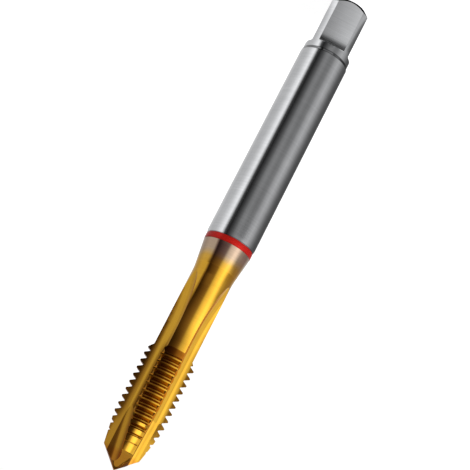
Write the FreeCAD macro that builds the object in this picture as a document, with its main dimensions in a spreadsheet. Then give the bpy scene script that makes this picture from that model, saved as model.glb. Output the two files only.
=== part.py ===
import FreeCAD, Part

import math
import os

import Sketcher
from FreeCAD import Placement, Rotation, Vector

# Machine tap for a metric M10 x 1.5 thread: reinforced shank with a drive square, colour ring,
# neck, right-hand thread on three lands, straight flutes and a spiral point. It stands on its
# drive end. +Z runs along the axis to the cutting tip, z = 0 is the end face, and the middle of
# one land and of one flat faces -Y. All lengths are millimetres and all angles are degrees.

# The driving sizes. Lengths along the axis follow each other from the end face to the tip.
SIZES = {
    # Drive square
    "end_face_diameter": 6.6,
    "square_across": 7.95,
    "square_length": 11.2,
    "square_runout_radius": 0.3,
    # Collar and ground shank
    "collar_diameter": 9.66,
    "collar_length": 1.5,
    "shank_lead_length": 0.4,
    "shank_diameter": 10.0,
    "shank_length": 42.0,
    "ring_lead_length": 0.75,
    # Colour ring in its shallow turned recess
    "ring_diameter": 9.66,
    "ring_width": 1.3,
    "ring_thickness": 0.12,
    # Neck
    "taper_length": 5.8,
    "neck_blend_radius": 14.0,
    "neck_diameter": 8.05,
    "neck_length": 16.7,
    # Thread, cutting lead and pointed nose
    "thread_diameter": 10.0,
    "thread_pitch": 1.5,
    "thread_run_in": 1.4,
    "thread_back_length": 1.25,
    "thread_length": 12.9,
    "lead_length": 6.7,
    "nose_diameter": 7.7,
    "nose_height": 3.65,
    # Flutes, ground by a wheel that leaves them in a long run-out
    "core_diameter": 4.6,
    "flute_edge_offset": 2.83,
    "flute_radius": 2.15,
    "flute_face_angle": 26.5,
    "flute_heel_offset": 2.89,
    "flute_heel_radius": 7.0,
    "flute_stop_gap": 1.2,
    "wheel_radius": 45.0,
    # Spiral point, a gash ground at an angle into the front of each flute
    "gash_edge_offset": 0.35,
    "gash_rake_angle": 8.0,
    "gash_length": 10.2,
    "gash_web_diameter": 2.45,
    "gash_floor_angle": 15.0,
    "gash_corner_radius": 2.4,
}
FLUTES = 3
SQUARE_SIDES = 4
# Proportions of the standard thread form, as shares of the pitch
ROOT_SHARE = 1 / 8
DEPTH_SHARE = 0.61343
FLANK_SLOPE = math.tan(math.radians(30))
# How far a cutting shape stands clear of the steel, and how far the thread cutter does
CUT_ROOM = 2.0
THREAD_CUT_ROOM = 0.08
# Heights closer than this are the same
HEIGHT_TOLERANCE = 1e-4


class Size:
    """A named size, or a sum or share of named sizes, as a number and as an expression."""

    def __init__(self, text, value):
        self.text = text
        self.value = value

    def combined(self, sign, other, value):
        text = other.text if isinstance(other, Size) else repr(other)
        return Size(f"({self.text} {sign} {text})", value)

    def __add__(self, other):
        return self.combined("+", other, self.value + number(other))

    def __sub__(self, other):
        return self.combined("-", other, self.value - number(other))

    def __mul__(self, other):
        return self.combined("*", other, self.value * number(other))

    def __truediv__(self, other):
        return self.combined("/", other, self.value / number(other))

    def __neg__(self):
        return self * -1


def number(size):
    """Give the plain number of a Size or of a number."""
    return size.value if isinstance(size, Size) else float(size)


def named(alias):
    """Give the size that has this name in the sheet."""
    return Size(f"Sizes.{alias}", SIZES[alias])


def half(alias):
    """Give half of the named size, as a radius is of a diameter."""
    return named(alias) / 2


class Stations:
    """The heights along the axis, each the one before plus a named length."""

    end_chamfer = half("collar_diameter") - half("end_face_diameter")
    collar = named("square_length") + named("collar_length")
    shank_start = collar + named("shank_lead_length")
    shank_stop = shank_start + named("shank_length")
    ring_start = shank_stop + named("ring_lead_length")
    ring_stop = ring_start + named("ring_width")
    neck_start = ring_stop + named("taper_length")
    neck_stop = neck_start + named("neck_length")
    thread_start = neck_stop + named("thread_back_length")
    lead_start = thread_start + named("thread_length")
    shoulder = lead_start + named("lead_length")
    tip = shoulder + named("nose_height")


def make_sheet(doc):
    """Write the driving sizes to the sheet, one row each, with the name as alias."""
    sheet = doc.addObject("Spreadsheet::Sheet", "Sizes")
    for row, (alias, value) in enumerate(SIZES.items(), start=1):
        sheet.set(f"A{row}", alias)
        sheet.set(f"B{row}", str(value))
        sheet.setAlias(f"B{row}", alias)


def origin_feature(body, role):
    """Give the origin plane or axis of the body that has this role."""
    return next(item for item in body.Origin.OriginFeatures if item.Role == role)


def new_sketch(body, name, plane):
    """Start a sketch on an origin plane of the body."""
    sketch = body.newObject("Sketcher::SketchObject", name)
    sketch.AttachmentSupport = [(origin_feature(body, plane), "")]
    sketch.MapMode = "FlatFace"
    return sketch


def constrain(sketch, kind, *arguments):
    """Add a constraint, and tie its value to the sheet where the last argument is a Size."""
    if isinstance(arguments[-1], Size):
        *places, held = arguments
        value = math.radians(held.value) if kind == "Angle" else held.value
        index = sketch.addConstraint(Sketcher.Constraint(kind, *places, value))
        sketch.setExpression(f"Constraints[{index}]", held.text)
    else:
        sketch.addConstraint(Sketcher.Constraint(kind, *arguments))


def place_point(sketch, edge, end, across, up):
    """Hold a point of an edge at its distances from the origin of the sketch."""
    for kind, axis, distance in (("DistanceX", -2, across), ("DistanceY", -1, up)):
        if number(distance) == 0:
            constrain(sketch, "PointOnObject", edge, end, axis)
        else:
            held = distance if isinstance(distance, Size) else Size(repr(distance), distance)
            constrain(sketch, kind, -1, 1, edge, end, held)


def closed_outline(sketch, points):
    """Draw a closed outline of straight lines and hold each of its corners in place."""
    corners = [Vector(number(across), number(up), 0) for across, up in points]
    for index, corner in enumerate(corners):
        following = corners[(index + 1) % len(corners)]
        sketch.addGeometry(Part.LineSegment(corner, following), False)
    for index, (across, up) in enumerate(points):
        constrain(sketch, "Coincident", (index - 1) % len(points), 2, index, 1)
        place_point(sketch, index, 1, across, up)


def repeat_around(body, name, features, count):
    """Repeat the features evenly around the axis and make the result the tip of the body."""
    pattern = body.newObject("PartDesign::PolarPattern", name)
    pattern.Originals = features
    pattern.Axis = (origin_feature(body, "Z_Axis"), [""])
    pattern.Angle = 360
    pattern.Occurrences = count
    body.Tip = pattern


def turn_blank(body):
    """Turn the blank: drive end, collar, shank, ring recess, neck, thread and pointed nose."""
    at = Stations
    seat_radius = half("ring_diameter") - named("ring_thickness")
    sketch = new_sketch(body, "blank_profile", "XZ_Plane")
    closed_outline(sketch, [
        (0, 0),
        (half("end_face_diameter"), 0),
        (half("collar_diameter"), at.end_chamfer),
        (half("collar_diameter"), at.collar),
        (half("shank_diameter"), at.shank_start),
        (half("shank_diameter"), at.shank_stop),
        (half("ring_diameter"), at.ring_start),
        (seat_radius, at.ring_start),
        (seat_radius, at.ring_stop),
        (half("ring_diameter"), at.ring_stop),
        (half("neck_diameter"), at.neck_start),
        (half("neck_diameter"), at.neck_stop),
        (half("thread_diameter"), at.thread_start),
        (half("thread_diameter"), at.lead_start),
        (half("nose_diameter"), at.shoulder),
        (0, at.tip),
    ])
    blank = body.newObject("PartDesign::Revolution", "blank")
    blank.Profile = sketch
    blank.ReferenceAxis = (sketch, ["V_Axis"])
    blank.Angle = 360
    return blank


def blend_neck(body, blank):
    """Round the inner corner where the taper meets the neck."""
    height = Stations.neck_start.value
    names = []
    for index, edge in enumerate(blank.Shape.Edges, start=1):
        off = max(abs(edge.BoundBox.ZMin - height), abs(edge.BoundBox.ZMax - height))
        if off < HEIGHT_TOLERANCE:
            names.append(f"Edge{index}")
    blend = body.newObject("PartDesign::Fillet", "neck_blend")
    blend.Base = (blank, names)
    blend.setExpression("Radius", named("neck_blend_radius").text)


def mill_square(body):
    """Mill the flats of the drive square, each with the round run-out of its cutter."""
    radius = named("square_runout_radius")
    across = half("square_across")
    outer = half("shank_diameter") + CUT_ROOM
    top = named("square_length")
    below = -CUT_ROOM
    centre = Vector((across + radius).value, (top - radius).value, 0)
    circle = Part.Circle(centre, Vector(0, 0, 1), radius.value)
    sketch = new_sketch(body, "flat_profile", "XZ_Plane")
    corners = [
        Vector(across.value, below, 0),
        Vector(outer.value, below, 0),
        Vector(outer.value, top.value, 0),
        centre + Vector(0, radius.value, 0),
    ]
    for start, end in zip(corners, corners[1:]):
        sketch.addGeometry(Part.LineSegment(start, end), False)
    sketch.addGeometry(Part.ArcOfCircle(circle, math.pi / 2, math.pi), False)
    sketch.addGeometry(Part.LineSegment(centre - Vector(radius.value, 0, 0), corners[0]), False)
    for edge, following in ((0, 1), (1, 2), (2, 3), (4, 0)):
        constrain(sketch, "Coincident", edge, 2, following, 1)
    constrain(sketch, "Tangent", 3, 2, 4, 1)
    constrain(sketch, "Vertical", 3, 3, 3, 1)
    constrain(sketch, "Radius", 3, radius)
    constrain(sketch, "Vertical", 4)
    place_point(sketch, 0, 1, across, below)
    place_point(sketch, 1, 1, outer, below)
    place_point(sketch, 2, 1, outer, top)
    constrain(sketch, "Horizontal", 2)
    flat = body.newObject("PartDesign::Pocket", "flat")
    flat.Profile = sketch
    flat.Midplane = True
    flat.setExpression("Length", (named("shank_diameter") + CUT_ROOM).text)
    repeat_around(body, "square", [flat], SQUARE_SIDES)


def cut_thread(body):
    """Cut the thread groove as one right-hand helix from the neck to past the shoulder."""
    at = Stations
    pitch = named("thread_pitch")
    root = pitch * (ROOT_SHARE / 2)
    inner = half("thread_diameter") - pitch * DEPTH_SHARE
    outer = half("thread_diameter") + THREAD_CUT_ROOM
    mouth = root + (outer - inner) * FLANK_SLOPE
    start = at.neck_stop - named("thread_run_in")
    sketch = new_sketch(body, "thread_profile", "XZ_Plane")
    closed_outline(sketch, [
        (inner, start - root),
        (outer, start - mouth),
        (outer, start + mouth),
        (inner, start + root),
    ])
    groove = body.newObject("PartDesign::SubtractiveHelix", "thread_groove")
    groove.Profile = sketch
    groove.ReferenceAxis = (sketch, ["V_Axis"])
    groove.Mode = "pitch-height-angle"
    groove.setExpression("Pitch", pitch.text)
    groove.setExpression("Height", (at.shoulder - start).text)
    body.Tip = groove


def flute_path(body):
    """Draw the way of the grinding wheel: straight along the core, then out of the neck."""
    at = Stations
    wheel = named("wheel_radius")
    core = half("core_diameter")
    stop = at.neck_start + named("flute_stop_gap")
    outer = half("shank_diameter") + CUT_ROOM
    centre_across = core.value + wheel.value
    rise = half("neck_diameter").value - core.value
    centre_up = stop.value + math.sqrt(wheel.value ** 2 - (wheel.value - rise) ** 2)
    centre = Vector(centre_across, centre_up, 0)
    top = Vector(core.value, at.tip.value + CUT_ROOM, 0)
    turn = math.acos((centre_across - outer.value) / wheel.value)
    circle = Part.Circle(centre, Vector(0, 0, 1), wheel.value)
    sketch = new_sketch(body, "flute_path", "YZ_Plane")
    sketch.addGeometry(Part.LineSegment(top, Vector(core.value, centre_up, 0)), False)
    sketch.addGeometry(Part.ArcOfCircle(circle, math.pi, math.pi + turn), False)
    constrain(sketch, "Tangent", 0, 2, 1, 1)
    constrain(sketch, "Vertical", 0)
    place_point(sketch, 0, 1, core, at.tip + CUT_ROOM)
    constrain(sketch, "Radius", 1, wheel)
    constrain(sketch, "DistanceX", -1, 1, 1, 2, outer)
    leaving = Part.Point(Vector(half("neck_diameter").value, stop.value, 0))
    exit_point = sketch.addGeometry(leaving, True)
    place_point(sketch, exit_point, 1, half("neck_diameter"), stop)
    constrain(sketch, "PointOnObject", exit_point, 1, 1)
    return sketch


def bearing(centre, point):
    """Find the direction from a centre to a point, as an angle in radians."""
    return math.atan2(point.y - centre.y, point.x - centre.x)


def outside_point(across):
    """Find the point on the thread's outside that lies this far across, on the +Y half."""
    return Vector(across, math.sqrt(half("thread_diameter").value ** 2 - across ** 2), 0)


def flute_section(body):
    """Draw the flute across the axis: straight cutting face, round floor and hollow heel.

    The cutting face lies on the +X side and the heel on the -X side. Each crosses the thread's
    outside at its own offset from the middle of the flute.
    """
    radius = named("flute_radius")
    heel_radius = named("flute_heel_radius")
    core = half("core_diameter")
    outside = half("thread_diameter")
    edge_across = named("flute_edge_offset")
    heel_across = named("flute_heel_offset")
    outer = half("shank_diameter") + CUT_ROOM
    face = math.radians(named("flute_face_angle").value)
    edge = outside_point(edge_across.value)
    heel = outside_point(-heel_across.value)
    along_face = Vector(math.sin(face), math.cos(face), 0)
    # The floor's centre lies one radius off the face and one radius off the core.
    off_face = edge + Vector(-along_face.y, along_face.x, 0) * radius.value
    reach = off_face.dot(along_face)
    gap = off_face.dot(off_face) - (core.value + radius.value) ** 2
    centre = off_face - along_face * (reach - math.sqrt(reach ** 2 - gap))
    face_foot = centre + Vector(along_face.y, -along_face.x, 0) * radius.value
    face_head = face_foot + along_face * ((outer.value - face_foot.y) / along_face.y)
    # The heel's centre lies one heel radius off the heel's edge, and its arc touches the floor's.
    toward = heel - centre
    span = toward.Length
    between = heel_radius.value - radius.value
    along = (between ** 2 - heel_radius.value ** 2 + span ** 2) / (2 * span)
    aside = math.sqrt(between ** 2 - along ** 2)
    toward.normalize()
    heel_centre = centre + toward * along + Vector(toward.y, -toward.x, 0) * aside
    heel_foot = heel_centre + (centre - heel_centre).normalize() * heel_radius.value
    drop = heel_centre.y - outer.value
    heel_head = Vector(heel_centre.x - math.sqrt(heel_radius.value ** 2 - drop ** 2), outer.value, 0)
    circle = Part.Circle(centre, Vector(0, 0, 1), radius.value)
    heel_circle = Part.Circle(heel_centre, Vector(0, 0, 1), heel_radius.value)
    floor_turns = [bearing(centre, foot) for foot in (heel_foot, face_foot)]
    heel_turns = [bearing(heel_centre, end) for end in (heel_head, heel_foot)]
    sketch = new_sketch(body, "flute_section", "XY_Plane")
    sketch.setExpression("AttachmentOffset.Base.z", (Stations.tip + CUT_ROOM).text)
    sketch.addGeometry(Part.LineSegment(face_head, face_foot), False)
    sketch.addGeometry(Part.ArcOfCircle(circle, *floor_turns), False)
    sketch.addGeometry(Part.ArcOfCircle(heel_circle, *heel_turns), False)
    sketch.addGeometry(Part.LineSegment(heel_head, face_head), False)
    sketch.addGeometry(Part.Circle(Vector(0, 0, 0), Vector(0, 0, 1), core.value), True)
    sketch.addGeometry(Part.Point(edge), True)
    sketch.addGeometry(Part.Point(heel), True)
    constrain(sketch, "Tangent", 0, 2, 1, 2)
    constrain(sketch, "Tangent", 1, 1, 2, 2)
    constrain(sketch, "Coincident", 2, 1, 3, 1)
    constrain(sketch, "Coincident", 3, 2, 0, 1)
    constrain(sketch, "Horizontal", 3)
    constrain(sketch, "DistanceY", -1, 1, 3, 1, outer)
    constrain(sketch, "Radius", 1, radius)
    constrain(sketch, "Radius", 2, heel_radius)
    constrain(sketch, "Coincident", 4, 3, -1, 1)
    constrain(sketch, "Radius", 4, core)
    constrain(sketch, "Tangent", 1, 4)
    constrain(sketch, "Angle", -2, 1, 0, 2, -named("flute_face_angle"))
    constrain(sketch, "PointOnObject", 5, 1, 0)
    constrain(sketch, "DistanceX", -1, 1, 5, 1, edge_across)
    constrain(sketch, "Distance", 5, 1, -1, 1, outside)
    constrain(sketch, "PointOnObject", 6, 1, 2)
    constrain(sketch, "DistanceX", 6, 1, -1, 1, heel_across)
    constrain(sketch, "Distance", 6, 1, -1, 1, outside)
    return sketch


class GashFrame:
    """The frame of the gash: x outward along its cutting face, y off the land, z its way.

    The cutting face leaves the land's cutting edge one gash length before the shoulder and has
    come in to the gash's own offset, from the middle of the land, at it. The floor is level
    with the axis, and its angle is turned from the middle of the land towards the flute.
    """

    def __init__(self):
        at = Stations
        start_edge = outside_point(SIZES["flute_edge_offset"])
        start_edge.z = (at.shoulder - named("gash_length")).value
        land = math.radians(90 - 180 / FLUTES)
        outward = Vector(math.cos(land), math.sin(land), 0)
        forward = Vector(-math.sin(land), math.cos(land), 0)
        offset = SIZES["gash_edge_offset"]
        nose = math.sqrt((SIZES["nose_diameter"] / 2) ** 2 - offset ** 2)
        shoulder_edge = outward * nose + forward * offset + Vector(0, 0, at.shoulder.value)
        face_turn = land + math.atan2(offset, nose) + math.radians(SIZES["gash_rake_angle"])
        along_face = Vector(math.cos(face_turn), math.sin(face_turn), 0)
        floor_turn = land + math.radians(SIZES["gash_floor_angle"])
        off_floor = Vector(math.cos(floor_turn), math.sin(floor_turn), 0)
        self.off_land = (shoulder_edge - start_edge).cross(along_face).normalize()
        self.way = off_floor.cross(self.off_land).normalize()
        self.outward = self.off_land.cross(self.way)
        self.front = shoulder_edge + self.way * ((SIZES["nose_height"] + CUT_ROOM) / self.way.z)
        self.lean = math.atan2(off_floor.dot(self.off_land), off_floor.dot(self.outward))
        self.depth = shoulder_edge.dot(off_floor) - SIZES["gash_web_diameter"] / 2

    def placement(self):
        """Give the frame as a placement."""
        return Placement(self.front, Rotation(self.outward, self.off_land, self.way, "ZXY"))


def gash_section(body, frame):
    """Draw the gash across its way: the cutting face, a rounded corner and the floor."""
    radius = named("gash_corner_radius")
    outer = half("shank_diameter") + CUT_ROOM
    far = outer.value
    off_floor = Vector(math.cos(frame.lean), math.sin(frame.lean), 0)
    corner_up = (radius.value * (1 - off_floor.y) - frame.depth) / off_floor.x
    centre = Vector(corner_up, radius.value, 0)
    circle = Part.Circle(centre, Vector(0, 0, 1), radius.value)
    foot = centre - off_floor * radius.value
    corners = [
        foot,
        Vector(foot.x - (far - foot.y) * math.tan(frame.lean), far, 0),
        Vector(far, far, 0),
        Vector(far, 0, 0),
        Vector(centre.x, 0, 0),
    ]
    sketch = new_sketch(body, "gash_section", "XY_Plane")
    sketch.AttachmentOffset = frame.placement()
    for start, end in zip(corners, corners[1:]):
        sketch.addGeometry(Part.LineSegment(start, end), False)
    arc = Part.ArcOfCircle(circle, math.pi + frame.lean, math.pi * 3 / 2)
    sketch.addGeometry(arc, False)
    lean = math.degrees(frame.lean)
    for edge in (0, 1, 2):
        constrain(sketch, "Coincident", edge, 2, edge + 1, 1)
    constrain(sketch, "Tangent", 4, 1, 0, 1)
    constrain(sketch, "Tangent", 3, 2, 4, 2)
    constrain(sketch, "Angle", -2, 1, 0, 1, Size(repr(lean), lean))
    constrain(sketch, "Horizontal", 1)
    constrain(sketch, "Vertical", 2)
    constrain(sketch, "Horizontal", 3)
    constrain(sketch, "Radius", 4, radius)
    constrain(sketch, "Distance", -1, 1, 0, Size(repr(frame.depth), frame.depth))
    place_point(sketch, 2, 1, outer, outer)
    constrain(sketch, "PointOnObject", 2, 2, -1)
    return sketch


def grind_flutes(body):
    """Grind the flutes, and into the front of each the gash of the spiral point."""
    at = Stations
    path = flute_path(body)
    flute = body.newObject("PartDesign::SubtractivePipe", "flute")
    flute.Profile = flute_section(body)
    flute.Spine = (path, ["Edge1", "Edge2"])
    frame = GashFrame()
    gash = body.newObject("PartDesign::Pocket", "gash")
    gash.Profile = gash_section(body, frame)
    reach = (at.tip - at.shoulder + named("gash_length") + 2 * CUT_ROOM) / frame.way.z
    gash.setExpression("Length", reach.text)
    repeat_around(body, "flutes", [flute, gash], FLUTES)


def lay_ring(body):
    """Fill the turned recess with the lacquer of the colour ring."""
    at = Stations
    outer = half("ring_diameter")
    inner = outer - named("ring_thickness")
    sketch = new_sketch(body, "ring_profile", "XZ_Plane")
    closed_outline(sketch, [
        (inner, at.ring_start),
        (outer, at.ring_start),
        (outer, at.ring_stop),
        (inner, at.ring_stop),
    ])
    ring = body.newObject("PartDesign::Revolution", "ring")
    ring.Profile = sketch
    ring.ReferenceAxis = (sketch, ["V_Axis"])
    ring.Angle = 360


def make_tap(doc):
    """Make the tap body: turned, milled, fluted and then threaded."""
    body = doc.addObject("PartDesign::Body", "tap_body")
    body.Label = "tap_body"
    blank = turn_blank(body)
    doc.recompute()
    blend_neck(body, blank)
    mill_square(body)
    grind_flutes(body)
    cut_thread(body)
    return body


def make_ring(doc):
    """Make the colour ring."""
    body = doc.addObject("PartDesign::Body", "colour_ring")
    body.Label = "colour_ring"
    lay_ring(body)
    return body


def check(doc, bodies):
    """Stop if a feature has failed or if the shape of a piece is missing or broken."""
    for item in doc.Objects:
        if "Invalid" in item.State or "Error" in item.State:
            raise RuntimeError(f"{item.Name} failed")
    for body in bodies:
        if body.Shape.isNull() or not body.Shape.isValid() or len(body.Shape.Solids) != 1:
            raise RuntimeError(f"{body.Label} is not one valid solid")


def main():
    doc = FreeCAD.newDocument("thread_tap")
    make_sheet(doc)
    bodies = [make_tap(doc), make_ring(doc)]
    doc.recompute()
    check(doc, bodies)
    os.makedirs("parts", exist_ok=True)
    for body in bodies:
        body.Shape.exportStep(f"parts/{body.Label}.step")
        print(f"{body.Label}: {body.Shape.Volume:.2f} mm3")


if __name__ == "__main__":
    main()
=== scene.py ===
"""Dresses the thread tap: ground steel shank, nitride-coated cutting end, lacquer ring, studio."""

import logging
import math
from dataclasses import dataclass

import bpy
from mathutils import Matrix, Vector

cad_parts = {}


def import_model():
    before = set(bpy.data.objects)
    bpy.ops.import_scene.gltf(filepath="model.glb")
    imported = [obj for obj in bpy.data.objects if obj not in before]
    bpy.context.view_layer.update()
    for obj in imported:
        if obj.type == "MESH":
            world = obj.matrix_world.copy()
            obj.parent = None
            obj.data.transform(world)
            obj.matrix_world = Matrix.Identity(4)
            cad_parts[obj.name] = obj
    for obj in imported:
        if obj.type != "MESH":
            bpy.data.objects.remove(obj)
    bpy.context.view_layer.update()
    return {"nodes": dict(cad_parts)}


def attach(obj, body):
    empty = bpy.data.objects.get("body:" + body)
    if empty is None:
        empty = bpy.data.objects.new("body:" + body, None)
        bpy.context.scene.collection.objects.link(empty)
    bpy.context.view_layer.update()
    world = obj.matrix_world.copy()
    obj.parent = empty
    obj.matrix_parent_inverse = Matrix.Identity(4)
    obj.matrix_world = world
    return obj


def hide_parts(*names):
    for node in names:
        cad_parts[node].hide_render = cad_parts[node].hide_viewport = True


LOG = logging.getLogger("thread_tap")
MM = 0.001
PHOTO_SIDE_PX = 470


def linear(hex_colour: str) -> tuple[float, float, float, float]:
    """Turn an sRGB hex colour into linear values.

    Args:
        hex_colour: Six hex digits after a hash sign.

    Returns:
        Linear red, green, blue and an alpha of 1.
    """
    shares = [int(hex_colour[i:i + 2], 16) / 255 for i in (1, 3, 5)]
    curve = [c / 12.92 if c <= 0.04045 else ((c + 0.055) / 1.055) ** 2.4 for c in shares]
    return (curve[0], curve[1], curve[2], 1.0)


def grey(level: float) -> tuple[float, float, float, float]:
    """Give the linear colour of a neutral level."""
    return (level, level, level, 1.0)


def span(pair_mm: tuple[float, float]) -> dict[str, float]:
    """Give the two ends of a soft edge as a map range's inputs."""
    return {"From_Min": pair_mm[0] * MM, "From_Max": pair_mm[1] * MM}


class NodeSheet:
    """The nodes of one material or world, with one way to add a node."""

    def __init__(self, tree: bpy.types.NodeTree) -> None:
        """Empty the tree and keep it."""
        self.tree = tree
        tree.nodes.clear()

    def add(self, kind: str, settings: dict[str, object] | None = None,
            **sockets: object) -> bpy.types.Node:
        """Add a node, set its properties, and set or link its inputs.

        Args:
            kind: The node's type name.
            settings: Properties of the node itself, by name.
            sockets: Inputs by name with underscores for spaces, or by index as i0, i1;
                each is a value, or an output socket to link.

        Returns:
            The new node.
        """
        node = self.tree.nodes.new(kind)
        for name, value in (settings or {}).items():
            setattr(node, name, value)
        for name, value in sockets.items():
            numbered = name[0] == "i" and name[1:].isdigit()
            socket = node.inputs[int(name[1:])] if numbered else node.inputs[name.replace("_", " ")]
            if isinstance(value, bpy.types.NodeSocket):
                self.tree.links.new(value, socket)
            else:
                socket.default_value = value
        return node


def blank_material(name: str) -> tuple[bpy.types.Material, NodeSheet]:
    """Start a material.

    Args:
        name: Its name.

    Returns:
        The material and the empty sheet of its nodes.
    """
    material = bpy.data.materials.new(name)
    material.use_nodes = True
    return material, NodeSheet(material.node_tree)


@dataclass
class PhotoCamera:
    """The camera of the photograph, fitted to the tap's outline.

    Attributes:
        focal_px: Focal length in pixels of the photograph.
        elevation_deg: How far above the horizon the camera stands.
        roll_deg: How far the picture is turned, so that the tip points down to the left.
        aim_height_mm: Height on the tap's axis at the middle of the picture.
        aside_mm: How far the axis passes beside the middle of the picture, to its upper left.
        scale_px_mm: Pixels per millimetre at that point.
        sensor_mm: Width of the sensor that the focal length is told for.
        clip_m: Nearest and furthest distance that it sees, in metres.
    """

    focal_px: float = 1500.0
    elevation_deg: float = 17.0
    roll_deg: float = 152.85
    aim_height_mm: float = 53.75
    aside_mm: float = 0.148
    scale_px_mm: float = 5.2133
    sensor_mm: float = 36.0
    clip_m: tuple[float, float] = (0.01, 20)

    def build(self) -> None:
        """Place the camera and make it the scene's."""
        tilt = math.radians(self.elevation_deg)
        roll = math.radians(self.roll_deg)
        ahead = Vector((0, math.cos(tilt), -math.sin(tilt)))
        level_right = Vector((1, 0, 0))
        level_up = level_right.cross(ahead)
        right = level_right * math.cos(roll) - level_up * math.sin(roll)
        up = level_right * math.sin(roll) + level_up * math.cos(roll)
        distance = self.focal_px / self.scale_px_mm
        aim = Vector((-self.aside_mm, 0, self.aim_height_mm))
        place = aim - ahead * distance
        data = bpy.data.cameras.new("photo_camera")
        data.sensor_width = self.sensor_mm
        data.lens = self.focal_px / PHOTO_SIDE_PX * self.sensor_mm
        data.clip_start, data.clip_end = self.clip_m
        camera = bpy.data.objects.new("photo_camera", data)
        bpy.context.scene.collection.objects.link(camera)
        turned = Matrix((right, up, -ahead)).transposed().to_4x4()
        camera.matrix_world = Matrix.Translation(place * MM) @ turned
        bpy.context.scene.camera = camera


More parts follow.
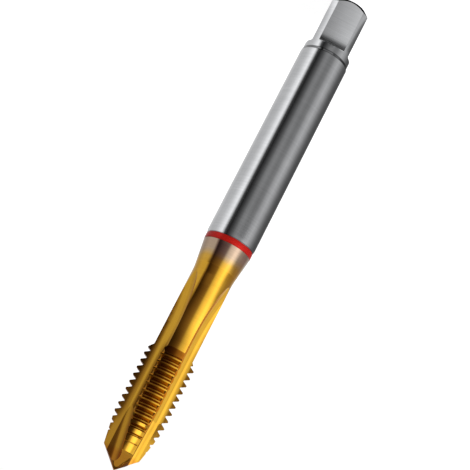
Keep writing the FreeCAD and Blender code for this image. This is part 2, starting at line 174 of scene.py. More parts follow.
@dataclass(frozen=True)
class TapSteel:
    """High-speed steel, cylindrically ground, with a gold titanium nitride coat on the front.

    The grinding leaves fine lines round the shank and along the flutes, which draw the
    reflections out across them. The coat thins out over the taper behind the neck through
    brownish tints. Down in the thread its colour is darkened with painted shade for the
    grooves' own shadow, and the thread's wheel leaves those faces rougher.

    Attributes:
        name: The material's name.
        steel_hex: Bare ground steel.
        fade_hexes: The coat from the ring forwards, from thin to full.
        fade_mm: Heights at which those colours are reached.
        onset_mm: Width of the coat's edge at the ring.
        waver_mm: How far the colours waver up and down round the taper.
        thread_shade_hex: Painted shade in the thread's grooves, as a share of the coat's colour.
        nose_hex: What it keeps of it on the nose, where it is browner.
        nose_mm: Heights over which it turns browner.
        line_mm: Spacing of the grinding lines. The real ones are about 0.02 mm apart, too
            fine to show, so they are drawn this coarse.
        line_stretch: How many times longer than wide they are.
        cloud_mm: Size of the coat's faint colour clouds.
        noise_share: Values between which nearly all of a noise pattern lies.
        tones: Darkest and lightest tone of the lines, and of the clouds.
        roughness: Roughness of the ground faces, least and most.
        flute_roughness: What the flutes' coarser wheel adds to it.
        thread_roughness: What the thread's wheel adds to it.
        bump_strength: How strongly the lines show in the reflections.
        bump_mm: Their depth.
        thread_mm: Heights between which the thread lies.
        step_shade_marks: Painted shade on the turned steps at the collar, the ring and behind the
        thread, darkened as their corners' shadow would darken them: lower and upper height in
        mm, and what they keep of the colour.
        step_core: Share of a step's width that is marked in full, inside its soft edges.
        crest_radius_mm: Radius below which a thread face counts as deep, and fully so.
        blends_mm: Heights between which polishing blends one diameter into the next, at the
            ring's recess and behind the thread.
        lead_start_mm: Height from which the ground lead cuts the crests lower.
        lead_slope: How fast it does.
        root_radius_mm: Radius above which a thread face lies, and that of the flutes' floor.
        side_turn: How far a normal leans round the axis where a face counts as a flute's, at
            first and in full.
    """

    name: str = "ground_steel_nitride_coat"
    steel_hex: str = "#cdced0"
    fade_hexes: tuple[str, ...] = ("#b89f8b", "#bba38a", "#c4a473", "#d0a347", "#daa637")
    fade_mm: tuple[float, ...] = (57.1, 59.1, 60.0, 60.9, 62.2)
    onset_mm: float = 0.1
    waver_mm: float = 0.4
    thread_shade_hex: str = "#d6d0cd"
    nose_hex: str = "#f2dce0"
    nose_mm: tuple[float, float] = (100.2, 101.0)
    line_mm: float = 0.3
    line_stretch: float = 60
    cloud_mm: float = 4.0
    noise_share: tuple[float, float] = (0.3, 0.7)
    tones: tuple[float, float] = (0.95, 1.04)
    roughness: tuple[float, float] = (0.08, 0.12)
    flute_roughness: float = 0.03
    thread_roughness: float = 0.06
    bump_strength: float = 0.25
    bump_mm: float = 0.004
    thread_mm: tuple[float, float] = (80.8, 100.5)
    step_shade_marks: tuple[tuple[float, float, str], ...] = (
        (12.5, 13.25, "#959595"), (55.7, 55.95, "#b3b3b3"), (79.5, 81.0, "#aa897c"))
    step_core: float = 0.8
    crest_radius_mm: tuple[float, float] = (4.96, 4.8)
    blends_mm: tuple[tuple[float, float], ...] = ((55.0, 55.95), (79.6, 80.95))
    lead_start_mm: float = 93.8
    lead_slope: float = 0.1716
    root_radius_mm: tuple[float, float] = (3.9, 3.5)
    side_turn: tuple[float, float] = (0.12, 0.35)

    def thread_depth(self, sheet: NodeSheet, place: bpy.types.Node, height: bpy.types.NodeSocket,
                     radius: bpy.types.NodeSocket
                     ) -> tuple[bpy.types.NodeSocket, bpy.types.NodeSocket]:
        """Tell the deep faces of the thread, and the faces of the flutes, from the rest.

        Args:
            sheet: The material's nodes.
            place: Its texture coordinates.
            height: Height along the axis.
            radius: Distance from the axis.

        Returns:
            Two sockets: 1 down in the thread, and 1 in the flutes.
        """
        around = sheet.add("ShaderNodeVectorMath", {"operation": "CROSS_PRODUCT"}, i0=(0, 0, 1),
                           i1=place.outputs["Object"])
        around = sheet.add("ShaderNodeVectorMath", {"operation": "NORMALIZE"}, i0=around.outputs[0])
        turned = sheet.add("ShaderNodeVectorMath", {"operation": "DOT_PRODUCT"},
                           i0=around.outputs[0], i1=place.outputs["Normal"])
        turned = sheet.add("ShaderNodeMath", {"operation": "ABSOLUTE"}, i0=turned.outputs["Value"])
        sideways = sheet.add("ShaderNodeMapRange", {"interpolation_type": "SMOOTHSTEP"},
                             Value=turned.outputs[0], From_Min=self.side_turn[0],
                             From_Max=self.side_turn[1])
        low = sheet.add("ShaderNodeMapRange", Value=radius, **span(self.root_radius_mm))
        fluted = sheet.add("ShaderNodeMath", {"operation": "MAXIMUM"}, i0=sideways.outputs[0],
                           i1=low.outputs[0])
        behind = sheet.add("ShaderNodeMath", {"operation": "GREATER_THAN"}, i0=height,
                           i1=self.fade_mm[-1] * MM)
        before = sheet.add("ShaderNodeMath", {"operation": "LESS_THAN"}, i0=height,
                           i1=self.thread_mm[1] * MM)
        fore = sheet.add("ShaderNodeMath", {"operation": "MULTIPLY"}, i0=behind.outputs[0],
                         i1=before.outputs[0])
        flute = sheet.add("ShaderNodeMath", {"operation": "MULTIPLY"}, i0=fluted.outputs[0],
                          i1=fore.outputs[0])
        led = sheet.add("ShaderNodeMath", {"operation": "SUBTRACT"}, i0=height,
                        i1=self.lead_start_mm * MM)
        led = sheet.add("ShaderNodeMath", {"operation": "MAXIMUM"}, i0=led.outputs[0], i1=0.0)
        full = sheet.add("ShaderNodeMath", {"operation": "MULTIPLY_ADD"}, i0=led.outputs[0],
                         i1=self.lead_slope, i2=radius)
        deep = sheet.add("ShaderNodeMapRange", Value=full.outputs[0],
                         **span(self.crest_radius_mm))
        threaded = sheet.add("ShaderNodeMath", {"operation": "GREATER_THAN"}, i0=height,
                             i1=self.thread_mm[0] * MM)
        inside = sheet.add("ShaderNodeMath", {"operation": "MULTIPLY"}, i0=threaded.outputs[0],
                           i1=before.outputs[0])
        inside = sheet.add("ShaderNodeMath", {"operation": "MULTIPLY"}, i0=inside.outputs[0],
                           i1=deep.outputs[0])
        groove = sheet.add("ShaderNodeMath", {"operation": "SUBTRACT"}, i0=1.0,
                           i1=fluted.outputs[0])
        groove = sheet.add("ShaderNodeMath", {"operation": "MULTIPLY"}, i0=groove.outputs[0],
                           i1=inside.outputs[0])
        return groove.outputs[0], flute.outputs[0]

    def between(self, sheet: NodeSheet, height: bpy.types.NodeSocket, low_mm: float,
                high_mm: float, flute: bpy.types.NodeSocket) -> bpy.types.NodeSocket:
        """Tell the turned faces between two heights from the rest.

        Args:
            sheet: The material's nodes.
            height: Height along the axis.
            low_mm: The lower height.
            high_mm: The upper height.
            flute: 1 in the flutes, which don't count.

        Returns:
            1 on those faces, with soft edges.
        """
        off = sheet.add("ShaderNodeMath", {"operation": "SUBTRACT"}, i0=height,
                        i1=(low_mm + high_mm) / 2 * MM)
        off = sheet.add("ShaderNodeMath", {"operation": "ABSOLUTE"}, i0=off.outputs[0])
        half = (high_mm - low_mm) / 2 * MM
        inside = sheet.add("ShaderNodeMapRange", Value=off.outputs[0], From_Max=half,
                           From_Min=half * self.step_core, To_Min=1.0, To_Max=0.0)
        turned = sheet.add("ShaderNodeMath", {"operation": "SUBTRACT"}, i0=1.0, i1=flute)
        return sheet.add("ShaderNodeMath", {"operation": "MULTIPLY"}, i0=inside.outputs[0],
                         i1=turned.outputs[0]).outputs[0]

    def make(self) -> bpy.types.Material:
        """Build the material.

        Returns:
            The material.
        """
        # Ground steel shines in long bands across its lines; the coat tints them gold.
        material, sheet = blank_material(self.name)
        faint, strong = self.noise_share
        darkest, lightest = self.tones
        place = sheet.add("ShaderNodeTexCoord")
        parts = sheet.add("ShaderNodeSeparateXYZ", i0=place.outputs["Object"])
        height = parts.outputs["Z"]
        flat = sheet.add("ShaderNodeVectorMath", {"operation": "MULTIPLY"},
                         i0=place.outputs["Object"], i1=(1, 1, 0))
        radius = sheet.add("ShaderNodeVectorMath", {"operation": "LENGTH"}, i0=flat.outputs[0])
        groove, flute = self.thread_depth(sheet, place, height, radius.outputs["Value"])

        # Fine lines round the axis on turned faces, and along it in the flutes.
        fine = 1 / (self.line_mm * MM)
        long = fine / self.line_stretch
        round_place = sheet.add("ShaderNodeMapping", Vector=place.outputs["Object"],
                                Scale=(long, long, fine))
        long_place = sheet.add("ShaderNodeMapping", Vector=place.outputs["Object"],
                               Scale=(fine, fine, long))
        line_place = sheet.add("ShaderNodeMix", {"data_type": "VECTOR"}, i0=flute,
                               i4=round_place.outputs[0], i5=long_place.outputs[0])
        lines = sheet.add("ShaderNodeTexNoise", Vector=line_place.outputs[1], Scale=1.0,
                          Detail=3.0, Roughness=0.6)
        clouds = sheet.add("ShaderNodeTexNoise", Vector=place.outputs["Object"],
                           Scale=1 / (self.cloud_mm * MM), Detail=2.0)

        # The coat's colours along the taper, wavering a little round it.
        waver = sheet.add("ShaderNodeMapRange", Value=clouds.outputs[0], From_Min=faint,
                          From_Max=strong, To_Min=-self.waver_mm * MM, To_Max=self.waver_mm * MM)
        wavering = sheet.add("ShaderNodeMath", {"operation": "ADD"}, i0=height,
                             i1=waver.outputs[0])
        colour = linear(self.steel_hex)
        start = self.fade_mm[0] - self.onset_mm
        for stop, over in zip(self.fade_mm, self.fade_hexes):
            along = height if stop == self.fade_mm[0] else wavering.outputs[0]
            rise = sheet.add("ShaderNodeMapRange", Value=along, **span((start, stop)))
            colour = sheet.add("ShaderNodeMix", {"data_type": "RGBA"}, i0=rise.outputs[0],
                               i6=colour, i7=linear(over)).outputs[2]
            start = stop
        nose = sheet.add("ShaderNodeMapRange", Value=wavering.outputs[0], **span(self.nose_mm))
        # Painted shade darkens the thread's grooves; the nose is tinted browner.
        for share, tint in ((nose.outputs[0], self.nose_hex), (groove, self.thread_shade_hex)):
            colour = sheet.add("ShaderNodeMix", {"data_type": "RGBA", "blend_type": "MULTIPLY"},
                               i0=share, i6=colour, i7=linear(tint)).outputs[2]
        streaks = sheet.add("ShaderNodeMapRange", Value=lines.outputs[0], From_Min=faint,
                            From_Max=strong, To_Min=darkest, To_Max=lightest)
        mottle = sheet.add("ShaderNodeMapRange", Value=clouds.outputs[0], From_Min=faint,
                           From_Max=strong, To_Min=darkest, To_Max=lightest)
        tone = sheet.add("ShaderNodeMath", {"operation": "MULTIPLY"}, i0=streaks.outputs[0],
                         i1=mottle.outputs[0])

        # Painted shade: the turned steps are darkened as their corners' shadow would darken them.
        for low, high, kept in self.step_shade_marks:
            colour = sheet.add("ShaderNodeMix", {"data_type": "RGBA", "blend_type": "MULTIPLY"},
                               i0=self.between(sheet, height, low, high, flute), i6=colour,
                               i7=linear(kept)).outputs[2]
        toned = sheet.add("ShaderNodeVectorMath", {"operation": "SCALE"}, i0=colour,
                          Scale=tone.outputs[0])

        # Ground faces are smooth; flutes and thread are left as their wheels leave them.
        rough = sheet.add("ShaderNodeMapRange", Value=lines.outputs[0], From_Min=faint,
                          From_Max=strong, To_Min=self.roughness[0], To_Max=self.roughness[1])
        fluted = sheet.add("ShaderNodeMath", {"operation": "MULTIPLY_ADD"}, i0=flute,
                           i1=self.flute_roughness, i2=rough.outputs[0])
        rough = sheet.add("ShaderNodeMath", {"operation": "MULTIPLY_ADD"}, i0=groove,
                          i1=self.thread_roughness, i2=fluted.outputs[0])

        # Polishing rounds two short steps, so their normals turn outwards, and lines go on top.
        outward = sheet.add("ShaderNodeVectorMath", {"operation": "NORMALIZE"}, i0=flat.outputs[0])
        facing = place.outputs["Normal"]
        for low, high in self.blends_mm:
            facing = sheet.add("ShaderNodeMix", {"data_type": "VECTOR"},
                               i0=self.between(sheet, height, low, high, flute), i4=facing,
                               i5=outward.outputs[0]).outputs[1]
        relief = sheet.add("ShaderNodeBump", Height=lines.outputs[0], Normal=facing,
                           Strength=self.bump_strength, Distance=self.bump_mm * MM)
        shader = sheet.add("ShaderNodeBsdfPrincipled", Base_Color=toned.outputs[0], Metallic=1.0,
                           Roughness=rough.outputs[0], Normal=relief.outputs[0])
        sheet.add("ShaderNodeOutputMaterial", Surface=shader.outputs[0])
        return material


@dataclass(frozen=True)
class RingLacquer:
    """Translucent red lacquer, rolled over bright steel in one pass.

    The film is thinner and darker towards its edges, and the steel beneath mirrors the room
    through it in red.

    Attributes:
        name: The material's name.
        red_hex: The film at its full thickness.
        thin_hex: The film at its edges.
        steel_share: Share of the light that comes back off the steel.
        shine: How much the film's own face reflects, which is little.
        roughness: Roughness of the rolled face, least and most.
        edge_mm: Width of the thin edges.
        patch_mm: Size of the patches that the roller leaves.
        bump_strength: How strongly the patches show in the reflections.
        bump_mm: Their depth.
    """

    name: str = "rolled_red_lacquer"
    red_hex: str = "#c61e15"
    thin_hex: str = "#921611"
    steel_share: float = 0.33
    shine: float = 0.2
    roughness: tuple[float, float] = (0.24, 0.38)
    edge_mm: float = 0.3
    patch_mm: float = 1.2
    bump_strength: float = 0.3
    bump_mm: float = 0.01

    def make(self, low_mm: float, high_mm: float) -> bpy.types.Material:
        """Build the material.

        Args:
            low_mm: Height of the lacquer's lower edge.
            high_mm: Height of its upper edge.

        Returns:
            The material.
        """
        # Lacquer over steel is a deep, soft red, brightest where the steel shines through.
        material, sheet = blank_material(self.name)
        place = sheet.add("ShaderNodeTexCoord")
        parts = sheet.add("ShaderNodeSeparateXYZ", i0=place.outputs["Object"])

        # The film is thin where the roller lifts off, unevenly so, and the darker for it.
        middle = (low_mm + high_mm) / 2 * MM
        reach = (high_mm - low_mm) / 2 * MM
        off = sheet.add("ShaderNodeMath", {"operation": "SUBTRACT"}, i0=parts.outputs["Z"],
                        i1=middle)
        off = sheet.add("ShaderNodeMath", {"operation": "ABSOLUTE"}, i0=off.outputs[0])
        edge = sheet.add("ShaderNodeMapRange", Value=off.outputs[0], From_Max=reach,
                         From_Min=reach - self.edge_mm * MM)
        patches = sheet.add("ShaderNodeTexNoise", Vector=place.outputs["Object"],
                            Scale=1 / (self.patch_mm * MM), Detail=3.0)
        thin = sheet.add("ShaderNodeMath", {"operation": "MULTIPLY"}, i0=edge.outputs[0],
                         i1=patches.outputs[0])
        colour = sheet.add("ShaderNodeMix", {"data_type": "RGBA"}, i0=thin.outputs[0],
                           i6=linear(self.red_hex), i7=linear(self.thin_hex))
        rough = sheet.add("ShaderNodeMapRange", Value=patches.outputs[0],
                          To_Min=self.roughness[0], To_Max=self.roughness[1])
        relief = sheet.add("ShaderNodeBump", Height=patches.outputs[0],
                           Strength=self.bump_strength, Distance=self.bump_mm * MM)
        shader = sheet.add("ShaderNodeBsdfPrincipled", Base_Color=colour.outputs[2],
                           Metallic=self.steel_share, Roughness=rough.outputs[0],
                           Specular_IOR_Level=self.shine, Normal=relief.outputs[0])
        sheet.add("ShaderNodeOutputMaterial", Surface=shader.outputs[0])
        return material


@dataclass
class TapBody:
    """The tap itself, whose shape is the CAD's and is kept as it is.

    Attributes:
        node: The CAD node's name.
        finish: The steel and its coat.
    """

    node: str = "tap_body"
    finish: TapSteel = TapSteel()

    def dress(self, nodes: dict[str, bpy.types.Object]) -> bpy.types.Object:
        """Give the tap its finish.

        Args:
            nodes: The CAD nodes by name.

        Returns:
            The tap.
        """
        body = nodes[self.node]
        body.material_slots[0].material = self.finish.make()
        return body


@dataclass
class LacquerRing:
    """The colour ring: a thin crowned band of lacquer that fills the turned recess.

    Attributes:
        low_mm: Height of the lower edge.
        high_mm: Height of the upper edge.
        radii_mm: Radii of the band's rows, from the lower edge to the upper one.
        depth_mm: How thick the lacquer is.
        segments: Steps round the axis.
        waver_mm: How far the rolled edges waver.
        waver_length_mm: Over what length they do.
        smooth_deg: Angle between faces up to which they are shaded as one.
        finish: The lacquer.
    """

    low_mm: float = 55.86
    high_mm: float = 57.12
    radii_mm: tuple[float, ...] = (4.85, 4.87, 4.878, 4.88, 4.878, 4.868, 4.836)
    depth_mm: float = 0.14
    segments: int = 180
    waver_mm: float = 0.12
    waver_length_mm: float = 1.6
    smooth_deg: float = 40
    finish: RingLacquer = RingLacquer()

    @property
    def width_mm(self) -> float:
        """Give the band's width."""
        return self.high_mm - self.low_mm

    def build(self) -> bpy.types.Object:
        """Model the band, crown it, give it thickness and let its edges waver.

        Returns:
            The finished ring.
        """
        rows = len(self.radii_mm) - 1
        middle_mm = self.low_mm + self.width_mm / 2
        bpy.ops.object.select_all(action="DESELECT")
        bpy.ops.mesh.primitive_cylinder_add(vertices=self.segments, radius=MM * self.radii_mm[0],
                                            depth=self.width_mm * MM, end_fill_type="NOTHING",
                                            location=(0, 0, middle_mm * MM))
        ring = bpy.context.object
        ring.name = "lacquer_ring"
        bpy.ops.object.transform_apply(location=True)
        bpy.ops.object.mode_set(mode="EDIT")
        self.select_edges(ring)
        bpy.ops.mesh.subdivide(number_cuts=rows - 1)
        for row, radius in enumerate(self.radii_mm):
            height = self.low_mm + self.width_mm * row / rows
            scale = radius / self.radii_mm[0]
            self.select_row(ring, height)
            bpy.ops.transform.resize(value=(scale, scale, 1), center_override=(0, 0, height * MM))
        bpy.ops.object.mode_set(mode="OBJECT")
        self.thicken(ring)
        self.dress(ring)
        return ring

    def select_edges(self, ring: bpy.types.Object) -> None:
        """Select the edges that run along the axis.

        Args:
            ring: The ring, in edit mode.
        """
        bpy.ops.mesh.select_mode(type="EDGE")
        bpy.ops.mesh.select_all(action="DESELECT")
        bpy.ops.object.mode_set(mode="OBJECT")
        points = ring.data.vertices
        for edge in ring.data.edges:
            first, second = (points[index].co.z for index in edge.vertices)
            edge.select = abs(first - second) > self.width_mm / 2 * MM
        bpy.ops.object.mode_set(mode="EDIT")

    def select_row(self, ring: bpy.types.Object, height_mm: float) -> None:
        """Select the points at one height, to a tenth of a row.

        Args:
            ring: The ring, in edit mode.
            height_mm: The height.
        """
        bpy.ops.mesh.select_mode(type="VERT")
        bpy.ops.mesh.select_all(action="DESELECT")
        bpy.ops.object.mode_set(mode="OBJECT")
        near = self.width_mm / len(self.radii_mm) / 10
        for point in ring.data.vertices:
            point.select = abs(point.co.z / MM - height_mm) < near
        bpy.ops.object.mode_set(mode="EDIT")

    def thicken(self, ring: bpy.types.Object) -> None:
        """Give the band its thickness and its wavering edges.

        Args:
            ring: The crowned band.
        """
        wall = ring.modifiers.new("wall", "SOLIDIFY")
        wall.thickness = self.depth_mm * MM
        wall.offset = -1
        lumps = bpy.data.textures.new("rolled_edge", "CLOUDS")
        lumps.noise_scale = self.waver_length_mm * MM
        waver = ring.modifiers.new("waver", "DISPLACE")
        waver.texture = lumps
        waver.direction = "Z"
        waver.mid_level = 0.5
        waver.strength = self.waver_mm * MM
        bpy.context.view_layer.objects.active = ring
        for modifier in [kept.name for kept in ring.modifiers]:
            bpy.ops.object.modifier_apply(modifier=modifier)
        bpy.ops.object.shade_smooth_by_angle(angle=math.radians(self.smooth_deg))

    def dress(self, ring: bpy.types.Object) -> None:
        """Give the band its lacquer and its place in the frame.

        Args:
            ring: The finished band.
        """
        ring.data.materials.append(self.finish.make(self.low_mm, self.high_mm))
        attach(ring, "root")
        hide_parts("colour_ring")


@dataclass(frozen=True)
class CardRow:
    """One row of reflector cards round the tap.

    Attributes:
        low_mm: Height above which the row below has faded into this one.
        high_mm: Height from which this row is seen pure.
        levels: Pairs of a bearing in degrees and a light level; bearings run from the
            camera's side, positive to the right of the photograph.
    """

    low_mm: float
    high_mm: float
    levels: tuple[tuple[float, float], ...]


# What the left border of the thread mirrors, from straight behind the tap round to the left.
THREAD_LEFT = ((-180, 0.5), (-115, 0.4), (-100, 0.1), (-86, 0.1), (-78, 0.3), (-74.5, 0.6),
               (-69, 0.7), (-62, 0.4))
# From there round the front: what the end of the neck and the thread's first turns mirror.
NECK_FRONT = ((-57, 0.08), (-50, 0.03), (-35, 0.04), (-18, 0.09), (-7, 0.15), (3, 0.26),
              (10, 0.48), (18, 0.74), (28, 1.0), (38, 1.2), (47, 1.65), (60, 1.5), (67, 0.85),
              (80, 1.1), (130, 1.0), (180, 0.55))
# What the left side of the lead mirrors.
LEAD_LEFT = ((-180, 0.45), (-115, 0.2), (-95, 0.35), (-76, 0.5), (-56, 0.5), (-46, 0.15),
             (-38, 0.04), (-12, 0.05))
# The dark cards to the right behind the lead.
BEHIND_RIGHT = ((114, 0.25), (150, 0.15), (180, 0.45))
SHANK_ROW = CardRow(-20, -10, (
    (-180, 0.6), (-140, 0.75), (-118, 0.66), (-90, 0.72), (-77, 0.88), (-66, 1.15), (-56, 1.3),
    (-50, 0.85), (-42, 0.08), (-32, 0.02), (-21, 0.07), (-11, 0.15), (-2, 0.27), (7, 0.32),
    (24, 0.25), (36, 0.29), (49, 0.49), (64, 0.62), (78, 0.48), (92, 0.28), (106, 0.16),
    (124, 0.1), (150, 0.12), (165, 0.4), (180, 0.6)))
ROWS = (
    SHANK_ROW,
    CardRow(44, 50, (
        (-180, 0.65), (-115, 0.57), (-90, 0.77), (-57, 0.76), (-49, 0.46), (-43, 0.03), (-34, 0.03),
        (-24, 0.06), (-12, 0.1), (0, 0.17), (6, 0.32), (11, 0.8), (16, 1.12), (32, 1.5), (41, 1.95),
        (50, 1.9), (60, 1.15), (68, 0.5), (78, 0.38), (90, 0.3), (115, 0.42), (150, 0.7),
        (180, 0.65))),
    CardRow(50, 53, (
        (-180, 0.65), (-115, 0.57), (-90, 0.77), (-57, 0.74), (-51, 0.33), (-43, 0.04), (-34, 0.1),
        (-17, 0.24), (0, 0.29), (6, 0.38), (11, 0.75), (16, 1.0), (32, 1.5), (41, 1.9), (50, 1.85),
        (60, 1.15), (70, 0.62), (90, 0.42), (118, 0.35), (150, 0.6), (180, 0.65))),
    CardRow(55.5, 57.5, (
        (-180, 0.65), (-115, 0.57), (-90, 0.77), (-57, 0.76), (-50, 0.42), (-43, 0.03), (-34, 0.05),
        (-24, 0.11), (-12, 0.17), (0, 0.25), (6, 0.37), (11, 0.78), (16, 1.08), (32, 1.5),
        (41, 1.95), (50, 1.9), (60, 1.15), (69, 0.52), (78, 0.42), (90, 0.34), (115, 0.42),
        (150, 0.7), (180, 0.65))),
    CardRow(57, 64, (
        (-180, 0.55), (-115, 0.5), (-95, 0.72), (-68, 0.72), (-62, 0.5), (-57, 0.15), (-50, 0.03),
        (-36, 0.09), (-18, 0.19), (-7, 0.25), (3, 0.38), (10, 0.82), (21, 1.3), (33, 1.65),
        (42, 2.1), (52, 1.9), (62, 1.45), (75, 1.15), (92, 0.85), (130, 1.0), (180, 0.55))),
    CardRow(66, 70, (
        (-180, 0.5), (-115, 0.45), (-98, 0.42), (-89, 0.5), (-82, 0.68), (-67, 0.7), (-62, 0.4),
        *NECK_FRONT)),
    CardRow(70, 72.5, (*THREAD_LEFT, *NECK_FRONT)),
    CardRow(79, 83, (
        *THREAD_LEFT, (-57, 0.1), (-41, 0.1), (-33, 0.26), (-25, 0.3), (-13, 0.2), (3, 0.3),
        (10, 0.5), (18, 0.78), (28, 1.0), (38, 1.3), (47, 1.7), (60, 1.5), (67, 0.85), (80, 1.1),
        (104, 1.0), (116, 0.3), (150, 0.2), (180, 0.55))),
    CardRow(87, 91, (
        (-180, 0.45), (-115, 0.2), (-95, 0.35), (-76, 0.5), (-56, 0.5), (-46, 0.2), (-36, 0.12),
        (-10, 0.12), (-2, 0.2), (6, 0.6), (14, 1.0), (30, 1.1), (34, 0.3), (43.5, 0.3), (46, 1.5),
        (60, 1.6), (67, 1.25), (80, 1.25), (95, 1.6), (104, 1.6), *BEHIND_RIGHT)),
    CardRow(98, 101, (
        *LEAD_LEFT, (-4, 0.15), (4, 0.8), (12, 1.8), (32, 1.9), (35, 0.35), (43, 0.35), (46, 1.6),
        (62, 1.6), (80, 1.3), (95, 1.8), (104, 1.8), *BEHIND_RIGHT)),
    CardRow(101, 102.5, (
        *LEAD_LEFT, (-4, 0.12), (4, 0.7), (12, 1.8), (22, 2.2), (32, 2.1), (37, 1.05), (45, 1.05),
        (50, 1.7), (62, 1.6), (80, 1.3), (95, 1.8), (104, 1.8), *BEHIND_RIGHT)),
)


@dataclass
class Studio:
    """A pale floor, soft light all round and a tube of reflector cards round the tap.

    Bearings run from the camera's side, in degrees, positive to the right of the photograph.
    A pair of distances, depths or heights gives the two sides of a soft edge.

    Attributes:
        floor_m: Side of the floor, in metres.
        floor_tone: How pale the floor is, which takes the tap's shadow.
        floor_glow: What the camera and reflections see on top of that, so that it looks white.
        ambient_light: Light of the room on surfaces that aren't polished.
        tube_radius_mm: Radius of the tube of cards.
        tube_height_mm: Its height.
        tube_steps: Steps round it.
        rows: Its rows of cards.
        brown_hex: Tint of the dark cards before the coated end.
        brown_below: Light level from which a card is neutral.
        base_height_mm: Height of the card below.
        base_span_mm: Reach of its levels to each side, which the front flat mirrors.
        base_levels: Its light across, from the left of the photograph.
        base_side_mm: How far aside the light of the tube's lowest row takes over.
        base_end_mm: How far from the axis it does.
        foot_mm: Distance from the axis within which it is dark, under the tap.
        gap_mm: Depth of the edge towards the tap of a dark gap in it, before the square.
        gap_end_mm: Depth of the gap's other edge.
        corner_strip_deg: Bearing of a darker strip of it, which the right corner of the square
            mirrors, half the strip's width, and half its width with its soft edges.
        corner_light: What the strip keeps of the light.
        corner_reach_mm: Distance from the axis at which the strip ends.
        ceiling_edge_mm: Depths over which the card above darkens, from the camera's side.
        ceiling_light: Its light before and behind that.
        lamp_size_m: Width of the soft lamp, in metres.
        lamp_watts: Its power.
        lamp_place_m: Where it hangs, in metres.
        lamp_aim_m: Where it points, in metres.
    """

    floor_m: float = 12
    floor_tone: float = 0.8
    floor_glow: float = 0.8
    ambient_light: float = 0.25
    tube_radius_mm: float = 40.0
    tube_height_mm: float = 160.0
    tube_steps: int = 96
    rows: tuple[CardRow, ...] = ROWS
    brown_hex: str = "#ffd2e4"
    brown_below: float = 0.6
    base_height_mm: float = 0.1
    base_span_mm: float = 5.0
    base_levels: tuple[tuple[float, float], ...] = (
        (5, 0.42), (4.2, 0.42), (2.3, 0.46), (0, 0.62), (-2.3, 0.78), (-5, 0.8))
    base_side_mm: tuple[float, float] = (4.4, 5.2)
    base_end_mm: tuple[float, float] = (26.5, 29)
    foot_mm: tuple[float, float] = (4.1, 4.8)
    gap_mm: tuple[float, float] = (-25.8, -23.2)
    gap_end_mm: tuple[float, float] = (-28, -28.8)
    corner_strip_deg: tuple[float, float, float] = (100, 18, 31)
    corner_light: float = 0.5
    corner_reach_mm: tuple[float, float] = (24, 26)
    ceiling_edge_mm: tuple[float, float] = (5, 12)
    ceiling_light: tuple[float, float] = (0.55, 0.08)
    lamp_size_m: float = 0.35
    lamp_watts: float = 3.8
    lamp_place_m: tuple[float, float, float] = (-0.38, -0.42, 0.4)
    lamp_aim_m: tuple[float, float, float] = (0, 0, 0.05)

    def floor(self) -> None:
        """Lay the floor."""
        bpy.ops.object.select_all(action="DESELECT")
        bpy.ops.mesh.primitive_plane_add(size=self.floor_m)
        floor = bpy.context.object
        floor.name = "floor"
        # Matt white card: even all over, with no gloss.
        material, sheet = blank_material("pale_floor")
        diffuse = sheet.add("ShaderNodeBsdfDiffuse", Color=grey(self.floor_tone))
        ray = sheet.add("ShaderNodeLightPath")
        glow = sheet.add("ShaderNodeEmission", Color=grey(1.0), Strength=self.floor_glow)
        both = sheet.add("ShaderNodeAddShader", i0=diffuse.outputs[0], i1=glow.outputs[0])
        seen = sheet.add("ShaderNodeMath", {"operation": "ADD", "use_clamp": True},
                         i0=ray.outputs["Is Camera Ray"], i1=ray.outputs["Is Glossy Ray"])
        mixed = sheet.add("ShaderNodeMixShader", i0=seen.outputs[0], i1=diffuse.outputs[0],
                          i2=both.outputs[0])
        sheet.add("ShaderNodeOutputMaterial", Surface=mixed.outputs[0])
        floor.data.materials.append(material)

    def card_light(self, sheet: NodeSheet, share: bpy.types.NodeSocket,
                   levels: tuple[tuple[float, float], ...]) -> bpy.types.NodeSocket:
        """Light a card by a list of levels along it.

        Args:
            sheet: The material's nodes.
            share: How far along the card a point lies, from 0 to 1.
            levels: Pairs of a place and a level, from one end of the card to the other.

        Returns:
            The light.
        """
        node = sheet.add("ShaderNodeValToRGB", i0=share)
        elements = node.color_ramp.elements
        (first, first_level), (last, last_level) = levels[0], levels[-1]
        elements[0].color = grey(first_level)
        elements[-1].color = grey(last_level)
        for place, level in levels[1:-1]:
            elements.new((place - first) / (last - first)).color = grey(level)
        return node.outputs[0]

    def bearing(self, sheet: NodeSheet, parts: bpy.types.Node) -> bpy.types.NodeSocket:
        """Give the bearing of a point, 0 and 1 being straight behind the tap.

        Args:
            sheet: The material's nodes.
            parts: The point's coordinates.

        Returns:
            The bearing as a share of the full turn.
        """
        flip = sheet.add("ShaderNodeMath", {"operation": "MULTIPLY"}, i0=parts.outputs["X"],
                         i1=-1.0)
        back = sheet.add("ShaderNodeMath", {"operation": "MULTIPLY"}, i0=parts.outputs["Y"],
                         i1=-1.0)
        angle = sheet.add("ShaderNodeMath", {"operation": "ARCTAN2"}, i0=flip.outputs[0],
                          i1=back.outputs[0])
        return sheet.add("ShaderNodeMapRange", Value=angle.outputs[0], From_Min=-math.pi,
                         From_Max=math.pi).outputs[0]

    def tube_cards(self) -> bpy.types.Material:
        """Build the light of the cards round the tap.

        Returns:
            The material.
        """
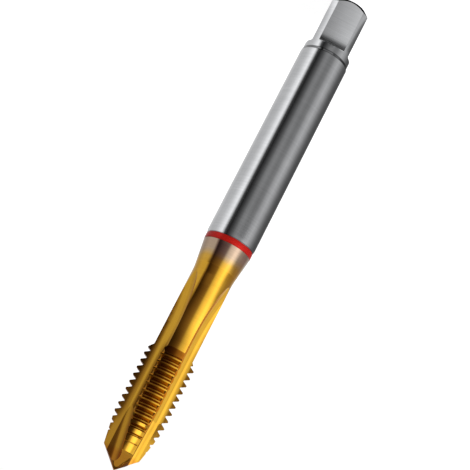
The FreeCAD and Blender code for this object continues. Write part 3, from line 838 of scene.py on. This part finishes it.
        # Lit card in soft greys: polished steel shows it as its bright and dark bands.
        material, sheet = blank_material("reflector_cards")
        place = sheet.add("ShaderNodeTexCoord")
        parts = sheet.add("ShaderNodeSeparateXYZ", i0=place.outputs["Object"])
        share = self.bearing(sheet, parts)
        light = self.card_light(sheet, share, self.rows[0].levels)
        for row in self.rows[1:]:
            level = self.card_light(sheet, share, row.levels)
            warm = sheet.add("ShaderNodeMapRange", Value=level, From_Max=self.brown_below)
            warm = sheet.add("ShaderNodeMix", {"data_type": "RGBA"}, i0=warm.outputs[0],
                             i6=linear(self.brown_hex), i7=grey(1.0))
            card = sheet.add("ShaderNodeMix", {"data_type": "RGBA", "blend_type": "MULTIPLY"},
                             i0=1.0, i6=level, i7=warm.outputs[2])
            rise = sheet.add("ShaderNodeMapRange", {"interpolation_type": "SMOOTHSTEP"},
                             Value=parts.outputs["Z"], **span((row.low_mm, row.high_mm)))
            light = sheet.add("ShaderNodeMix", {"data_type": "RGBA"}, i0=rise.outputs[0],
                              i6=light, i7=card.outputs[2]).outputs[2]
        glow = sheet.add("ShaderNodeEmission", Color=light, Strength=1.0)
        sheet.add("ShaderNodeOutputMaterial", Surface=glow.outputs[0])
        return material

    def base_card(self) -> bpy.types.Material:
        """Build the light of the card below, which the faces of the square and collar mirror.

        Returns:
            The material.
        """
        # Lit card in soft greys, as the tube's.
        material, sheet = blank_material("base_card")
        smooth = {"interpolation_type": "SMOOTHSTEP"}
        place = sheet.add("ShaderNodeTexCoord")
        parts = sheet.add("ShaderNodeSeparateXYZ", i0=place.outputs["Object"])
        depth = parts.outputs["Y"]
        reach = sheet.add("ShaderNodeVectorMath", {"operation": "LENGTH"},
                          i0=place.outputs["Object"]).outputs["Value"]
        turned = self.bearing(sheet, parts)

        # Before the tap the light rises across; beside and beyond that it is the lowest row's.
        share = sheet.add("ShaderNodeMapRange", Value=parts.outputs["X"],
                          **span((self.base_span_mm, -self.base_span_mm)))
        across = self.card_light(sheet, share.outputs[0], self.base_levels)
        round_light = self.card_light(sheet, turned, self.rows[0].levels)
        outside = sheet.add("ShaderNodeMapRange", smooth, Value=reach, **span(self.base_end_mm))
        aside = sheet.add("ShaderNodeMath", {"operation": "ABSOLUTE"}, i0=parts.outputs["X"])
        aside = sheet.add("ShaderNodeMapRange", smooth, Value=aside.outputs[0],
                          **span(self.base_side_mm))
        beside = sheet.add("ShaderNodeMath", {"operation": "MAXIMUM"}, i0=aside.outputs[0],
                           i1=outside.outputs[0])
        light = sheet.add("ShaderNodeMix", {"data_type": "RGBA"}, i0=beside.outputs[0],
                          i6=across, i7=round_light)

        # The dark gap before the square.
        before = sheet.add("ShaderNodeMapRange", smooth, Value=depth, **span(self.gap_mm))
        beyond = sheet.add("ShaderNodeMapRange", smooth, Value=depth, **span(self.gap_end_mm))
        clear = sheet.add("ShaderNodeMath", {"operation": "MAXIMUM"}, i0=before.outputs[0],
                          i1=beyond.outputs[0])
        clear = sheet.add("ShaderNodeMath", {"operation": "MAXIMUM"}, i0=clear.outputs[0],
                          i1=aside.outputs[0])

        # The darker strip for the square's right corner.
        middle, half, soft_half = (angle / 360 for angle in self.corner_strip_deg)
        off = sheet.add("ShaderNodeMath", {"operation": "SUBTRACT"}, i0=turned, i1=0.5 + middle)
        off = sheet.add("ShaderNodeMath", {"operation": "ABSOLUTE"}, i0=off.outputs[0])
        strip = sheet.add("ShaderNodeMapRange", smooth, Value=off.outputs[0], From_Min=half,
                          From_Max=soft_half, To_Min=self.corner_light, To_Max=1.0)
        far = sheet.add("ShaderNodeMapRange", smooth, Value=reach, **span(self.corner_reach_mm))
        strip = sheet.add("ShaderNodeMath", {"operation": "MAXIMUM"}, i0=strip.outputs[0],
                          i1=far.outputs[0])
        clear = sheet.add("ShaderNodeMath", {"operation": "MULTIPLY"}, i0=clear.outputs[0],
                          i1=strip.outputs[0])

        # No light from under the tap.
        foot = sheet.add("ShaderNodeMapRange", smooth, Value=reach, **span(self.foot_mm))
        clear = sheet.add("ShaderNodeMath", {"operation": "MULTIPLY"}, i0=clear.outputs[0],
                          i1=foot.outputs[0])
        glow = sheet.add("ShaderNodeEmission", Color=light.outputs[2], Strength=clear.outputs[0])
        sheet.add("ShaderNodeOutputMaterial", Surface=glow.outputs[0])
        return material

    def ceiling_card(self) -> bpy.types.Material:
        """Build the light of the card above, darker behind the tap, which the thread mirrors.

        Returns:
            The material.
        """
        # Lit grey card, nearly black behind, which leaves the thread's grooves dark.
        material, sheet = blank_material("ceiling_card")
        place = sheet.add("ShaderNodeTexCoord")
        parts = sheet.add("ShaderNodeSeparateXYZ", i0=place.outputs["Object"])
        light = sheet.add("ShaderNodeMapRange", {"interpolation_type": "SMOOTHSTEP"},
                          Value=parts.outputs["Y"], To_Min=self.ceiling_light[0],
                          To_Max=self.ceiling_light[1], **span(self.ceiling_edge_mm))
        glow = sheet.add("ShaderNodeEmission", Color=grey(1.0), Strength=light.outputs[0])
        sheet.add("ShaderNodeOutputMaterial", Surface=glow.outputs[0])
        return material

    def disc(self, name: str, height_mm: float, material: bpy.types.Material) -> bpy.types.Object:
        """Lay a round card across the tube.

        Args:
            name: Its name.
            height_mm: Its height.
            material: Its light.

        Returns:
            The card.
        """
        bpy.ops.object.select_all(action="DESELECT")
        bpy.ops.mesh.primitive_circle_add(vertices=self.tube_steps, fill_type="NGON",
                                          radius=self.tube_radius_mm * MM,
                                          location=(0, 0, height_mm * MM))
        card = bpy.context.object
        card.name = name
        card.data.materials.append(material)
        bpy.ops.object.transform_apply(location=True)
        return card

    def reflectors(self) -> None:
        """Stand the reflector tube, its base and its ceiling, seen only in reflections."""
        bpy.ops.object.select_all(action="DESELECT")
        bpy.ops.mesh.primitive_cylinder_add(vertices=self.tube_steps,
                                            radius=self.tube_radius_mm * MM,
                                            depth=self.tube_height_mm * MM,
                                            end_fill_type="NOTHING",
                                            location=(0, 0, self.tube_height_mm * MM / 2))
        tube = bpy.context.object
        tube.name = "reflector_tube"
        tube.data.materials.append(self.tube_cards())
        bpy.ops.object.transform_apply(location=True)
        base = self.disc("base_card", self.base_height_mm, self.base_card())
        ceiling = self.disc("ceiling_card", self.tube_height_mm, self.ceiling_card())
        for card in (tube, base, ceiling):
            card.visible_camera = False
            card.visible_diffuse = False
            card.visible_shadow = False
            card.visible_transmission = False

    def world(self) -> None:
        """Light everything evenly, before a white background."""
        world = bpy.data.worlds.new("studio")
        world.use_nodes = True
        sheet = NodeSheet(world.node_tree)
        ray = sheet.add("ShaderNodeLightPath")
        seen = sheet.add("ShaderNodeMath", {"operation": "MAXIMUM"},
                         i0=ray.outputs["Is Glossy Ray"], i1=ray.outputs["Is Camera Ray"])
        level = sheet.add("ShaderNodeMapRange", Value=seen.outputs[0],
                          To_Min=self.ambient_light, To_Max=1.0)
        sky = sheet.add("ShaderNodeBackground", Color=grey(1.0), Strength=level.outputs[0])
        sheet.add("ShaderNodeOutputWorld", Surface=sky.outputs[0])
        bpy.context.scene.world = world

    def lamp(self) -> None:
        """Hang the soft lamp to the right of the camera."""
        data = bpy.data.lights.new("soft_lamp", "AREA")
        data.shape = "DISK"
        data.size = self.lamp_size_m
        data.energy = self.lamp_watts
        lamp = bpy.data.objects.new("soft_lamp", data)
        bpy.context.scene.collection.objects.link(lamp)
        ahead = Vector(self.lamp_aim_m) - Vector(self.lamp_place_m)
        lamp.location = self.lamp_place_m
        lamp.rotation_euler = ahead.to_track_quat("-Z", "Y").to_euler()
        lamp.visible_glossy = False
        lamp.visible_camera = False

    def build(self) -> None:
        """Set everything up."""
        self.floor()
        self.reflectors()
        self.world()
        self.lamp()


def main() -> None:
    """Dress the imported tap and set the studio."""
    logging.basicConfig(level=logging.INFO, format="%(message)s")
    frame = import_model()
    PhotoCamera().build()
    LOG.info("camera: placed as the photograph has it")
    body = TapBody().dress(frame["nodes"])
    LOG.info("%s: %s", body.name, body.material_slots[0].material.name)
    ring = LacquerRing().build()
    LOG.info("%s: %d faces", ring.name, len(ring.data.polygons))
    Studio().build()
    LOG.info("studio: floor, reflector cards, lamp")
    bpy.context.scene.view_settings.view_transform = "Standard"


if __name__ == "__main__":
    main()
